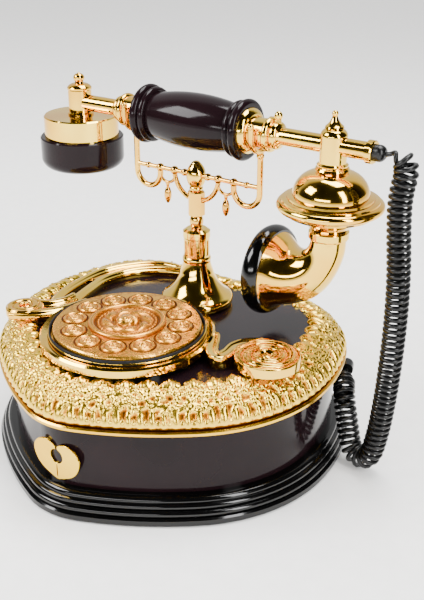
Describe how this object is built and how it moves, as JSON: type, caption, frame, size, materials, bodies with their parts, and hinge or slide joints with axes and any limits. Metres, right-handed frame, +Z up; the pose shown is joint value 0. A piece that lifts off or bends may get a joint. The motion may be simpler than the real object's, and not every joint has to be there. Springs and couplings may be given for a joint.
{
  "type": "cradle telephone",
  "caption": "Old-style table telephone with a heart-plan base, round keypad, column cradle and a level handset with ear cup and horn.",
  "frame": {"origin": "on the table under the axis of the column", "axes": "+X from the ear end to the horn end of the handset, the front with the lock plate faces -Y, +Z up"},
  "size_m": [0.2765, 0.2125, 0.2224],
  "materials": {
    "felt": "matte",
    "steel": "zinc plated",
    "black_gloss": "gloss black lacquer",
    "brown_gloss": "gloss dark brown lacquer",
    "gilt": "polished and lacquered",
    "dial_gilt": "satin, warmer than the rest",
    "keypad_rubber": "matte",
    "circuit_board": "solder-masked board",
    "inner_plastic": "matte",
    "cord_black": "smooth flexible vinyl"
  },
  "bodies": {
    "base": {"felt_pad": "felt", "base_plate": "steel", "base_screws": "steel", "hook_spring": "steel", "plinth": "black_gloss", "dial_cup": "black_gloss", "body_shell": "brown_gloss", "top_deck": "brown_gloss", "gallery_tray": "gilt", "floral_band": "gilt", "escutcheon": "gilt", "dial_ring": "gilt", "left_scroll": "gilt", "right_scroll": "gilt", "column_bell": "gilt", "column_neck": "gilt", "finger_plate": "dial_gilt", "dial_medallion": "dial_gilt", "keypad_membrane": "keypad_rubber", "keypad_board": "circuit_board", "main_board": "circuit_board", "hook_switch": "inner_plastic", "ringer": "inner_plastic", "line_jack": "inner_plastic", "coiled_cord": "cord_black", "base_cord_gland": "cord_black"},
    "cradle": {"cradle_plunger": "gilt", "cradle_stem": "gilt", "cradle_head": "gilt", "cradle_bar": "gilt", "lyre_arms": "gilt", "left_arm": "gilt", "right_arm": "gilt", "cradle_drops": "gilt"},
    "handset": {"handset_tube": "gilt", "grip": "brown_gloss", "grip_collars": "brown_gloss", "neck_ferrules": "gilt", "ear_barrel": "gilt", "ear_drum": "gilt", "ear_cap": "brown_gloss", "receiver_capsule": "inner_plastic", "mouth_barrel": "gilt", "mouth_bell": "gilt", "transmitter_capsule": "inner_plastic", "horn_elbow": "gilt", "horn_ring": "black_gloss", "handset_cord_gland": "cord_black"},
    "button_1_body": {"button_1": "dial_gilt"},
    "button_2_body": {"button_2": "dial_gilt"},
    "button_3_body": {"button_3": "dial_gilt"},
    "button_4_body": {"button_4": "dial_gilt"},
    "button_5_body": {"button_5": "dial_gilt"},
    "button_6_body": {"button_6": "dial_gilt"},
    "button_7_body": {"button_7": "dial_gilt"},
    "button_8_body": {"button_8": "dial_gilt"},
    "button_9_body": {"button_9": "dial_gilt"},
    "button_10_body": {"button_10": "dial_gilt"},
    "button_11_body": {"button_11": "dial_gilt"},
    "button_12_body": {"button_12": "dial_gilt"}
  },
  "joints": [
    {"name": "handset_lift", "type": "slide", "parent": "base", "child": "handset", "axis": [0, 0, 1], "range_m": [0, 0.09]},
    {"name": "cradle_hook", "type": "slide", "parent": "base", "child": "cradle", "axis": [0, 0, 1], "range_m": [0, 0.004], "stiffness_N_per_m": 200, "springref_m": 0.008, "deforming": ["hook_spring"]},
    {"name": "button_1_press", "type": "slide", "parent": "base", "child": "button_1_body", "axis": [0, 0, -1], "range_m": [0, 0.0012], "stiffness_N_per_m": 300},
    {"name": "button_2_press", "type": "slide", "parent": "base", "child": "button_2_body", "axis": [0, 0, -1], "range_m": [0, 0.0012], "stiffness_N_per_m": 300},
    {"name": "button_3_press", "type": "slide", "parent": "base", "child": "button_3_body", "axis": [0, 0, -1], "range_m": [0, 0.0012], "stiffness_N_per_m": 300},
    {"name": "button_4_press", "type": "slide", "parent": "base", "child": "button_4_body", "axis": [0, 0, -1], "range_m": [0, 0.0012], "stiffness_N_per_m": 300},
    {"name": "button_5_press", "type": "slide", "parent": "base", "child": "button_5_body", "axis": [0, 0, -1], "range_m": [0, 0.0012], "stiffness_N_per_m": 300},
    {"name": "button_6_press", "type": "slide", "parent": "base", "child": "button_6_body", "axis": [0, 0, -1], "range_m": [0, 0.0012], "stiffness_N_per_m": 300},
    {"name": "button_7_press", "type": "slide", "parent": "base", "child": "button_7_body", "axis": [0, 0, -1], "range_m": [0, 0.0012], "stiffness_N_per_m": 300},
    {"name": "button_8_press", "type": "slide", "parent": "base", "child": "button_8_body", "axis": [0, 0, -1], "range_m": [0, 0.0012], "stiffness_N_per_m": 300},
    {"name": "button_9_press", "type": "slide", "parent": "base", "child": "button_9_body", "axis": [0, 0, -1], "range_m": [0, 0.0012], "stiffness_N_per_m": 300},
    {"name": "button_10_press", "type": "slide", "parent": "base", "child": "button_10_body", "axis": [0, 0, -1], "range_m": [0, 0.0012], "stiffness_N_per_m": 300},
    {"name": "button_11_press", "type": "slide", "parent": "base", "child": "button_11_body", "axis": [0, 0, -1], "range_m": [0, 0.0012], "stiffness_N_per_m": 300},
    {"name": "button_12_press", "type": "slide", "parent": "base", "child": "button_12_body", "axis": [0, 0, -1], "range_m": [0, 0.0012], "stiffness_N_per_m": 300}
  ],
  "couplings": [
    {"joint": "cradle_hook", "follows": "handset_lift", "ratio": 0.0444}
  ]
}
